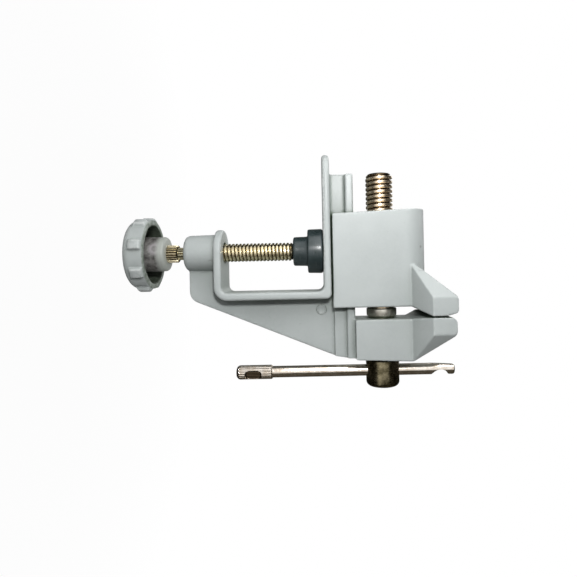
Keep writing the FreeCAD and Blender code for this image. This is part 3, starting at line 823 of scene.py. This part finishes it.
moving_casting = stored("moving_casting", moving_block, moving_head)
fused_skin(moving_casting, 0.28, 4)
slot_play = 0.15
cutter_reach = 60.0
rail_slot = stored(
    "rail_slot",
    prism(
        [
            (-rail_neck_half - slot_play, 0),
            (rail_neck_half + slot_play, 0),
            (rail_neck_half + slot_play, rail_neck_top - slot_play),
            (rail_head_half + slot_play, rail_neck_top - slot_play),
            (rail_head_half + slot_play, rail_top + slot_play),
            (-rail_head_half - slot_play, rail_top + slot_play),
            (-rail_head_half - slot_play, rail_neck_top - slot_play),
            (-rail_neck_half - slot_play, rail_neck_top - slot_play),
        ],
        "X",
        -cutter_reach,
        cutter_reach,
    ),
)
main_thread_radius = 4.7
nut_hole = screw_drill(main_thread_radius + 0.1, -cutter_reach, cutter_reach)
combined(moving_casting, [rail_slot, nut_hole], "DIFFERENCE")
shaded(moving_casting)
fitted(moving_casting, casting_paint, "sliding_jaw", "sliding_jaw")


# ---------------------------------------------------------------- main screw
# A turned steel screw, zinc plated with a faint straw tint: a coarse rolled thread, a plain shank
# through the fixed jaw, and a thick round head with the cross hole for the bar.

# share of the pitch, from root to root, and the depth there: 1 at the root, 0 on the crest
THREAD_FORM = ((0, 1), (0.05, 1), (0.2, 0.25), (0.3, 0.04), (0.5, 0), (0.7, 0.04), (0.8, 0.25), (0.95, 1))


def thread(radius, depth, pitch, start, end, axis="Z", centre=(0, 0), columns=64):
    """A closed rod with a helical thread that fades out into a chamfer at both ends."""
    turns = [(share, radius - depth * low) for share, low in THREAD_FORM]
    steps = len(turns)
    shape = bmesh.new()
    rows = []
    for lap in range(-1, math.ceil((end - start) / pitch) + 1):
        for share, wall in turns:
            row = []
            for i in range(columns):
                along = start + pitch * (lap + share + i / columns)
                inside = min(max(along, start), end)
                fade = radius - depth + min(inside - start, end - inside) * 0.9
                reach = min(wall, fade)
                place = around(reach, math.tau * i / columns, inside, axis, centre)
                row.append(shape.verts.new(place))
            rows.append(row)
    for j in range(len(rows) - steps - 1):
        for i in range(columns):
            if i + 1 < columns:
                far_low, far_high = rows[j][i + 1], rows[j + 1][i + 1]
            else:
                far_low, far_high = rows[j + steps][0], rows[j + 1 + steps][0]
            shape.faces.new((rows[j][i], far_low, far_high, rows[j + 1][i]))
    bmesh.ops.remove_doubles(shape, verts=shape.verts, dist=1e-4)
    bmesh.ops.holes_fill(shape, edges=[edge for edge in shape.edges if edge.is_boundary], sides=0)
    bmesh.ops.recalc_face_normals(shape, faces=shape.faces)
    return shape


def off_axis(tree, place, across, shift):
    """How far a place is from an axis or a level, in millimetres; across keeps the axes that count."""
    settings = {"Vector": place, "Scale": across, "Location": shift}
    flat = node(tree, "ShaderNodeMapping", settings).outputs[0]
    reach = node(tree, "ShaderNodeVectorMath", {0: flat}, operation="LENGTH").outputs["Value"]
    return product(tree, reach, 1 / MM)


def plated_steel(name, bright, dull, sheen, along, grooves=None):
    """Plated steel: fine turning lines along one axis, patches of tarnish, painted shade in hollows and
    in the grooves.
    """
    finish, tree, shader, place = new_finish(name)
    lines = node(tree, "ShaderNodeMapping", {"Vector": place, "Scale": along}).outputs[0]
    streak = noise(tree, lines, 900, 3.0)
    patch = noise(tree, place, 420, 4.0, 0.6)
    metal = ramp(tree, patch, (0.36, dull), (0.62, bright))
    bend = node(tree, "ShaderNodeNewGeometry").outputs["Pointiness"]
    # Painted shade in hollows, where the surface curves inwards.
    metal = blended(tree, spread(tree, bend, 0.42, 0.5, 0.5, 0.0), metal, (0.12, 0.09, 0.05))
    if grooves:
        across, shift, root, crest = grooves
        # Painted shade in the grooves: dark brown near the root radius, fading out towards the crest.
        groove_shade = spread(tree, off_axis(tree, place, across, shift), root, crest, 0.92, 0.0)
        metal = blended(tree, groove_shade, metal, (0.055, 0.036, 0.018))
    tree.links.new(metal, shader.inputs["Base Color"])
    tree.links.new(spread(tree, streak, 0.3, 0.7, sheen, sheen + 0.14), shader.inputs["Roughness"])
    tree.links.new(bumped(tree, streak, 0.012), shader.inputs["Normal"])
    shader.inputs["Metallic"].default_value = 1.0
    return finish


def opened(finish):
    """A finish's tree, shader, texture place and present colour, to lay more colour over it."""
    tree = finish.node_tree
    shader = tree.nodes["Principled BSDF"]
    place = node(tree, "ShaderNodeTexCoord").outputs["Object"]
    return tree, shader, place, shader.inputs["Base Color"].links[0].from_socket


screw_low, screw_high = corners_of("main_screw")
main_pitch = 1.5875
thread_end = 17.0
shank_radius = 4.1
head_seat = screw_high.x - 9.4
head_radius = (screw_high.z - screw_low.z) / 2
head_round = 1.7
head_curve = corner_arc(head_radius - head_round, screw_high.x - head_round, head_round, 0, 90)
core_radius, core_overlap = shank_radius - 0.5, 2
head_chamfer = 0.4
jaw_screw = stored(
    "jaw_screw",
    thread(main_thread_radius, 0.85, main_pitch, screw_low.x, thread_end, "X", (0, screw_height), 72),
)
head_and_shank = stored(
    "head_and_shank",
    turned(
        [
            (0, thread_end - core_overlap),
            (core_radius, thread_end - core_overlap),
            (core_radius, thread_end - 0.2),
            (shank_radius, thread_end),
            (shank_radius, head_seat),
            (head_radius - head_chamfer, head_seat),
            (head_radius, head_seat + head_chamfer),
            *head_curve,
            (0, screw_high.x),
        ],
        "X",
        (0, screw_height),
    ),
)
bar_low, bar_high = corners_of("handle_bar")
bar_axis = head_seat + 4.0
bar_radius = 1.98
bar_hole_radius = bar_radius + 0.08
hole_reach, hole_flare = 8, 1.9
hole_edge, hole_edge_depth = 0.35, 0.5
hole_half = [
    (bar_hole_radius, head_radius - hole_edge_depth),
    (bar_hole_radius + hole_edge, head_radius),
    (bar_hole_radius + hole_flare, hole_reach),
    (0, hole_reach),
]
cross_hole = stored(
    "cross_hole",
    turned(
        [(radius, screw_height - up) for radius, up in reversed(hole_half)]
        + [(radius, screw_height + up) for radius, up in hole_half],
        "Z",
        (bar_axis, 0),
    ),
)
combined(jaw_screw, [head_and_shank], "UNION")
combined(jaw_screw, [cross_hole], "DIFFERENCE")
shaded(jaw_screw, 32)
screw_plate = plated_steel(
    "straw_zinc_plate",
    (0.78, 0.66, 0.50),
    (0.60, 0.49, 0.35),
    0.2,
    (12.0, 1.0, 1.0),
    ((0.0, 1.0, 1.0), (0.0, 0.0, -screw_height * MM), 3.9, 4.3),
)
screw_tree, screw_shader, screw_place, screw_metal = opened(screw_plate)
screw_along = node(screw_tree, "ShaderNodeSeparateXYZ", {"Vector": screw_place}).outputs["X"]
# The head is painted darker and mottled brown-black: a painted dark reflection on the same plating as the
# thread.
head_reflection_share = spread(screw_tree, screw_along, (head_seat - 0.3) * MM, head_seat * MM, 0.0, 1.0)
head_painted_reflection = ramp(
    screw_tree,
    noise(screw_tree, screw_place, 380, 5.0, 0.66),
    (0.38, (0.075, 0.062, 0.03)),
    (0.62, (0.33, 0.285, 0.18)),
)
screw_metal = blended(screw_tree, head_reflection_share, screw_metal, head_painted_reflection)
screw_tree.links.new(screw_metal, screw_shader.inputs["Base Color"])
fitted(jaw_screw, screw_plate, "main_screw", "main_screw")


# ---------------------------------------------------------------- retaining collar
# A plain steel ring pressed on the shank in the gap between the jaws. It bears on the fixed jaw
# when the screw is backed out, and so pulls the sliding jaw open.
collar_low, collar_high = corners_of("retaining_collar")
collar_radius = (collar_high.z - collar_low.z) / 2
collar_bevel = 0.25
collar_ring = stored(
    "collar_ring",
    turned(
        [
            (0, collar_low.x),
            (collar_radius - collar_bevel, collar_low.x),
            (collar_radius, collar_low.x + collar_bevel),
            (collar_radius, collar_high.x - 1.1),
            (collar_radius - 0.3, collar_high.x - 0.45),
            (collar_radius - 0.9, collar_high.x),
            (0, collar_high.x),
        ],
        "X",
        (0, screw_height),
    ),
)
collar_bore = screw_drill(shank_radius, collar_low.x - 4, collar_high.x + 4)
combined(collar_ring, [collar_bore], "DIFFERENCE")
shaded(collar_ring, 32)
collar_steel = plated_steel("dull_steel", (0.62, 0.60, 0.53), (0.36, 0.34, 0.29), 0.28, (10.0, 1.0, 1.0))
fitted(collar_ring, collar_steel, "main_screw", "retaining_collar")


# ---------------------------------------------------------------- handle bar
# A drawn steel rod, nickel plated bright. Its lower end is a straight-knurled ferrule with a
# stamped flat, too thick for the head's hole, and its upper end is filed to a lip by a round notch.
ferrule_length, ferrule_radius, ferrule_dome, ferrule_edge = 12.5, 2.45, 1.4, 0.3
knurl_depth, knurl_teeth = 0.14, 20
tip_edge, edge_slope = 0.35, 0.8


def bar_radius_at(along, angle):
    """The bar's radius before the flat and the notch are cut, at a height and an angle."""
    up = along - bar_low.z
    if up > ferrule_length:
        rest = bar_high.z - along
        return bar_radius - max(0.0, tip_edge - rest) * edge_slope
    dome = ferrule_radius
    if up < ferrule_dome:
        dome -= ferrule_dome * (1 - math.sqrt(max(0.0, 1 - (1 - up / ferrule_dome) ** 2)))
    if up > ferrule_length - ferrule_edge:
        dome -= (up - ferrule_length + ferrule_edge) * edge_slope
    ridge = 0.0
    if up > ferrule_dome * 0.8:
        ridge = knurl_depth * (0.5 - 0.5 * math.cos(knurl_teeth * angle))
    return max(dome - ridge, 0.02)


def ring_places(along, reach_at, columns):
    """Points round an upright axis at one height, at a distance that changes with the angle."""
    angles = [math.tau * i / columns for i in range(columns)]
    return [Vector(around(reach_at(angle), angle, along)) for angle in angles]


flat_turn = math.radians(-68)
flat_centre = bar_low.z + 5.9
flat_half_length = 2.75
flat_half_width = 1.75
flat_distance = 1.35
notch_radius = 3.3
notch_centre = bar_high.z - 4.9
taper_start = bar_high.z - 8.5


def bar_cuts(place):
    """Press the stamped flat and file the notch and the lip into the bar's surface."""
    facing = Vector((math.cos(flat_turn), math.sin(flat_turn), 0))
    aside = place.dot(facing.cross(Vector((0, 0, 1))))
    off_centre = abs(place.z - flat_centre) / flat_half_length
    off_side = abs(aside) / flat_half_width
    if off_centre < 1.2:
        corner = math.hypot(max(0.0, off_centre - 0.55), max(0.0, off_side - 0.5))
        limit = flat_distance + max(0.0, corner - 0.32) * 6.0
        ribs = 0.08 * math.cos(10 * aside)
        beyond = place.dot(facing) - limit - ribs
        if beyond > 0:
            place = place - facing * beyond
    offset = place.z - notch_centre
    if abs(offset) < notch_radius:
        place.x = min(place.x, notch_radius - math.sqrt(notch_radius ** 2 - offset ** 2))
    if place.z > taper_start:
        place.x = max(place.x, -bar_radius + (place.z - taper_start) * 0.085)
    return place


ferrule_top = bar_low.z + ferrule_length
carved_start = bar_high.z - 9.2
heights = [bar_low.z + ferrule_dome * (i / 12) ** 2 for i in range(12)]
knurl_run = ferrule_length - ferrule_dome - ferrule_edge
heights += [bar_low.z + ferrule_dome + knurl_run * i / 52 for i in range(53)]
heights += [ferrule_top, ferrule_top + 0.02]
heights += [ferrule_top + 0.1 + (carved_start - 0.3 - ferrule_top) * i / 16 for i in range(17)]
heights += [carved_start + (bar_high.z - tip_edge - carved_start) * i / 56 for i in range(57)]
heights += [bar_high.z - tip_edge / 2, bar_high.z]
bar_rows = []
for along in heights:
    row = ring_places(along, lambda angle: bar_radius_at(along, angle), 160)
    bar_rows.append([bar_cuts(place) for place in row])
bar = stored("tommy_bar", skinned(bar_rows))
for vertex in bar.data.vertices:
    vertex.co.x += bar_axis * MM
shaded(bar, 34)
bar_nickel = plated_steel("bright_nickel", (0.86, 0.79, 0.71), (0.62, 0.53, 0.43), 0.11, (1.0, 1.0, 9.0))
bar_tree, bar_shader, bar_place, bar_metal = opened(bar_nickel)
bar_reach = off_axis(bar_tree, bar_place, (1.0, 1.0, 0.0), (-bar_axis * MM, 0.0, 0.0))
flat_reach = off_axis(bar_tree, bar_place, (0.0, 0.0, 1.0), (0.0, 0.0, -flat_centre * MM))
pocket = product(
    bar_tree,
    spread(bar_tree, bar_reach, 2.12, 2.24, 1.0, 0.0),
    spread(bar_tree, flat_reach, flat_half_length - 0.25, flat_half_length + 0.15, 1.0, 0.0),
)
bar_metal = blended(bar_tree, pocket, bar_metal, (0.075, 0.055, 0.035))
bar_tree.links.new(bar_metal, bar_shader.inputs["Base Color"])
fitted(bar, bar_nickel, "handle_bar", "handle_bar")


# ---------------------------------------------------------------- clamp screw
# The table clamp's screw, in the same plating: a fine rolled thread from the pad's socket to the
# boss, a thin neck, and a splined tail that is pressed into the knob's hub.
clamp_low, clamp_high = corners_of("clamp_screw")
clamp_pitch = 1.27
clamp_radius = 3.15
clamp_thread_low = clamp_low.z + 11.3
pad_low, pad_high = corners_of("clamp_pad")
clamp_thread_high = pad_low.z - 0.16
spline_top = clamp_thread_low - 1.1
neck_end = clamp_thread_low + 1.4
spline_radius = 3.05


def furrow(angle, teeth):
    """0 on the crest of a tooth, 1 in the furrow between two teeth, with steep flanks."""
    wave = 0.5 - 0.5 * math.cos(teeth * angle)
    return min(max((wave - 0.3) / 0.35, 0.0), 1.0)


def spline_radius_at(along, angle):
    """The splined tail's radius, and the thinner neck's above it, at a height and an angle."""
    if along > spline_top:
        return 2.15 - 0.2 * furrow(angle, 14)
    fade = min(along - clamp_low.z, spline_top - along)
    crown = spline_radius - max(0.0, 0.35 - fade)
    return crown - 0.4 * furrow(angle, 20)


spline_heights = [
    clamp_low.z,
    clamp_low.z + 0.35,
    spline_top - 0.35,
    spline_top,
    spline_top + 0.02,
    neck_end + 1,
]
clamp_rod = stored("clamp_rod", thread(clamp_radius, 0.5, clamp_pitch, neck_end, clamp_thread_high))
spline_rows = [
    ring_places(along, lambda angle: spline_radius_at(along, angle), 280) for along in spline_heights
]
spline_tail = stored("spline_tail", skinned(spline_rows))
neck_and_ball = stored(
    "neck_and_ball",
    turned(
        [
            (0, neck_end + 0.6),
            (1.6, neck_end + 0.6),
            (1.6, clamp_thread_high - 1),
            (1.9, clamp_thread_high - 0.5),
            (1.9, clamp_thread_high + 2.2),
            (2.5, clamp_thread_high + 2.8),
            (2.6, clamp_thread_high + 3.9),
            (2.2, clamp_thread_high + 5.2),
            (1.2, clamp_thread_high + 6.1),
            (0, clamp_high.z),
        ]
    ),
)
combined(clamp_rod, [spline_tail, neck_and_ball], "UNION")
shaded(clamp_rod, 32)
clamp_plate = plated_steel(
    "straw_zinc_fine",
    (0.86, 0.77, 0.54),
    (0.64, 0.56, 0.38),
    0.2,
    (1.0, 1.0, 12.0),
    ((1.0, 1.0, 0.0), (0.0, 0.0, 0.0), 2.66, 2.9),
)
clamp_tree, clamp_shader, clamp_place, clamp_metal = opened(clamp_plate)
clamp_along = node(clamp_tree, "ShaderNodeSeparateXYZ", {"Vector": clamp_place}).outputs["Z"]
neck_share = product(
    clamp_tree,
    spread(clamp_tree, clamp_along, spline_top * MM, (spline_top + 0.05) * MM, 0.0, 1.0),
    spread(clamp_tree, clamp_along, (neck_end - 0.1) * MM, neck_end * MM, 1.0, 0.0),
)
# Painted shade on the neck: dark in its furrows, bright on its crests.
clamp_reach = off_axis(clamp_tree, clamp_place, (1.0, 1.0, 0.0), (0.0, 0.0, 0.0))
neck_crest = spread(clamp_tree, clamp_reach, 1.97, 2.1, 0.0, 1.0)
neck_painted_shade = blended(clamp_tree, neck_crest, (0.16, 0.12, 0.06), (0.78, 0.74, 0.52))
clamp_metal = blended(clamp_tree, neck_share, clamp_metal, neck_painted_shade)
clamp_tree.links.new(clamp_metal, clamp_shader.inputs["Base Color"])
fitted(clamp_rod, clamp_plate, "clamp_screw", "clamp_screw")


# ---------------------------------------------------------------- clamp pad
# The swivel pad, moulded in dark grey plastic: a disc that presses on the table from below, and a
# neck whose socket snaps over the screw's ball end.
disc_radius, disc_height = 7.7, 5.25
neck_radius = 5.1
disc_low = pad_high.z - disc_height
socket_radius, socket_mouth = 2.68, 1.98
socket_low = pad_low.z + 1.96
pad = stored(
    "swivel_pad",
    turned(
        [
            (0, pad_high.z),
            (disc_radius - 2.2, pad_high.z),
            *corner_arc(disc_radius - 0.7, pad_high.z - 0.7, 0.7, 90, 0),
            (disc_radius - 0.05, disc_low + disc_height * 0.55),
            *corner_arc(disc_radius - 0.65, disc_low + 0.55, 0.55, 0, -90),
            (neck_radius + 0.55, disc_low),
            (neck_radius + 0.12, disc_low - 0.18),
            (neck_radius, disc_low - 0.7),
            (neck_radius - 0.08, pad_low.z + 1.2),
            *corner_arc(neck_radius - 0.75, pad_low.z + 0.65, 0.65, 0, -90),
            (socket_mouth + 0.5, pad_low.z),
            (socket_mouth, pad_low.z + 0.4),
            (socket_mouth, socket_low),
            (socket_radius, socket_low + 0.4),
            (socket_radius, socket_low + 2.4),
            (socket_radius * 0.7, socket_low + 4.2),
            (0, socket_low + 4.5),
        ],
        columns=128,
    ),
)
shaded(pad, 40)
pad_plastic, pad_tree, pad_shader, pad_place = new_finish("slate_plastic")
pad_cloud = noise(pad_tree, pad_place, 260, 4.0, 0.6)
pad_grain = noise(pad_tree, pad_place, 2600, 3.0)
ringed = node(pad_tree, "ShaderNodeMapping", {"Vector": pad_place, "Scale": (0.4, 0.4, 5.0)}).outputs[0]
pad_scratch = spread(pad_tree, noise(pad_tree, ringed, 700, 4.0, 0.65), 0.60, 0.72, 0.0, 0.35)
pad_colour = ramp(pad_tree, pad_cloud, (0.35, (0.022, 0.035, 0.036)), (0.7, (0.040, 0.056, 0.060)))
pad_colour = blended(pad_tree, pad_scratch, pad_colour, (0.20, 0.21, 0.22))
pad_tree.links.new(pad_colour, pad_shader.inputs["Base Color"])
pad_tree.links.new(spread(pad_tree, pad_cloud, 0.3, 0.7, 0.26, 0.42), pad_shader.inputs["Roughness"])
pad_bump = bumped(pad_tree, pad_grain, 0.012, bumped(pad_tree, pad_cloud, 0.04))
pad_tree.links.new(pad_bump, pad_shader.inputs["Normal"])
fitted(pad, pad_plastic, "clamp_pad", "clamp_pad")


# ---------------------------------------------------------------- knob
# The clamp's knob: a die-cast cup with eight finger ribs, painted like the castings, open towards
# the frame. Its hub stands up inside the cup and is pressed on the screw's splined tail.
knob_low, knob_high = corners_of("knob")
wall_radius, rib_radius = 11.9, 13.1
wall_thick = 2.0
wall_corner = 2.6
knob_dome = 0.8
rim = knob_high.z - 4.9
wall_low = knob_low.z + knob_dome + wall_corner
cup_floor = knob_low.z + 2.4
hub_radius = 6.0
rib_turn = math.radians(30.5)
rib_count = 8
rib_half_width, rib_flank = math.radians(6.0), math.radians(3.8)


def rib_share(angle):
    """1 on a finger rib, 0 between ribs, with a smooth flank."""
    period = math.tau / rib_count
    off = abs((angle - rib_turn + period / 2) % period - period / 2)
    edge = min(max((off - rib_half_width) / rib_flank, 0.0), 1.0)
    return 1 - edge * edge * (3 - 2 * edge)


corner_curve = [
    (
        wall_radius - wall_corner * (1 - math.sin(math.radians(a))),
        knob_low.z + knob_dome + wall_corner * (1 - math.cos(math.radians(a))),
        share,
    )
    for a, share in ((0, 0), (15, 0), (30, 0), (45, 0), (60, 0), (68, 0), (76, 0), (84, 0.2), (90, 0.5))
]
knob_levels = [
    (0.02, knob_low.z, 0),
    (wall_radius * 0.4, knob_low.z + 0.2, 0),
    (wall_radius * 0.62, knob_low.z + 0.5, 0),
    *corner_curve,
    (wall_radius, wall_low + 0.25, 0.84),
    (wall_radius, wall_low + 0.5, 1),
    (wall_radius, rim - 1.2, 1),
    (wall_radius, rim - 0.75, 0.85),
    (wall_radius, rim - 0.45, 0.4),
    (wall_radius, rim - 0.27, 0.1),
    (wall_radius - 0.1, rim - 0.1, 0),
    (wall_radius - 0.35, rim, 0),
    (wall_radius - wall_thick + 0.3, rim, 0.1),
    (wall_radius - wall_thick + 0.05, rim - 0.12, 0.18),
    (wall_radius - wall_thick, rim - 0.4, 0.2),
    (wall_radius - wall_thick - 0.25, cup_floor + 1.0, 0.2),
    (wall_radius - wall_thick - 0.6, cup_floor + 0.25, 0.1),
    (wall_radius - wall_thick - 1.3, cup_floor, 0),
    (hub_radius + 0.7, cup_floor, 0),
    (hub_radius + 0.15, cup_floor + 0.3, 0),
    (hub_radius, cup_floor + 0.9, 0),
    (hub_radius - 0.04, knob_high.z - 1.0, 0),
    (hub_radius - 0.16, knob_high.z - 0.55, 0),
    (hub_radius - 0.45, knob_high.z - 0.2, 0),
    (hub_radius - 0.95, knob_high.z, 0),
    (spline_radius, knob_high.z, 0),
    (spline_radius - 0.05, clamp_low.z + 0.1, 0),
    (0.02, clamp_low.z + 0.1, 0),
]
knob_rows = []
for radius, along, share in knob_levels:
    stand = share * (rib_radius - wall_radius)
    knob_rows.append(ring_places(along, lambda angle: radius + stand * rib_share(angle), 320))
knob = stored("finger_knob", skinned(knob_rows))
shaded(knob, 44)
knob_paint = silver_grey_paint("knob_paint")
knob_tree, knob_shader, knob_place, knob_colour = opened(knob_paint)
knob_reach = off_axis(knob_tree, knob_place, (1.0, 1.0, 0.0), (0.0, 0.0, 0.0))
knob_along = node(knob_tree, "ShaderNodeSeparateXYZ", {"Vector": knob_place}).outputs["Z"]


def knob_zone(radius, blur, low, high):
    """1 within a radius of the knob's axis and above a height, in millimetres, else 0."""
    within = spread(knob_tree, knob_reach, radius, radius + blur, 1.0, 0.0)
    return product(knob_tree, within, spread(knob_tree, knob_along, low * MM, high * MM, 0.0, 1.0))


knob_mottle = noise(knob_tree, knob_place, 520, 5.0, 0.68)
# Painted shade inside the cup: a mottled, nearly black green-grey.
cup_painted_shade = ramp(knob_tree, knob_mottle, (0.36, (0.026, 0.036, 0.024)), (0.64, (0.078, 0.094, 0.072)))
# The rim's top is speckled darker: partly its rough cast edge, partly painted shade with a greenish
# painted reflection.
rim_speckle_and_shade = product(
    knob_tree,
    spread(knob_tree, knob_along, (rim - 0.5) * MM, (rim - 0.12) * MM, 0.0, 1.0),
    spread(knob_tree, knob_mottle, 0.4, 0.56, 0.55, 0.95),
)
knob_colour = blended(knob_tree, rim_speckle_and_shade, knob_colour, (0.185, 0.22, 0.18))
inside_cup = knob_zone(10.2, 0.3, cup_floor - 0.4, cup_floor - 0.1)
knob_colour = blended(knob_tree, inside_cup, knob_colour, cup_painted_shade)
# The hub's side is mottled dark: partly bare unpainted metal, partly painted shade down in the cup.
hub_bare_metal_and_shade = ramp(knob_tree, knob_mottle, (0.38, (0.07, 0.066, 0.062)), (0.62, (0.24, 0.235, 0.225)))
# A painted highlight: a light ring on the near side of the hub.
hub_highlight_reach = off_axis(knob_tree, knob_place, (1.0, 1.0, 1.0), (1.87 * MM, 5.7 * MM, 57.0 * MM))
hub_painted_highlight = product(
    knob_tree,
    spread(knob_tree, hub_highlight_reach, 0.8, 1.3, 0.3, 0.8),
    spread(knob_tree, hub_highlight_reach, 1.55, 2.6, 1.0, 0.0),
)
hub_bare_metal_and_shade = blended(knob_tree, hub_painted_highlight, hub_bare_metal_and_shade, (0.40, 0.38, 0.39))
hub_side = knob_zone(hub_radius + 0.1, 0.2, cup_floor + 0.3, cup_floor + 1.2)
knob_colour = blended(knob_tree, hub_side, knob_colour, hub_bare_metal_and_shade)
hub_top = knob_zone(hub_radius + 0.15, 0.15, knob_high.z - 3.2, knob_high.z - 1.6)
knob_colour = blended(knob_tree, hub_top, knob_colour, (0.44, 0.465, 0.43))
knob_tree.links.new(knob_colour, knob_shader.inputs["Base Color"])
fitted(knob, knob_paint, "clamp_screw", "knob")
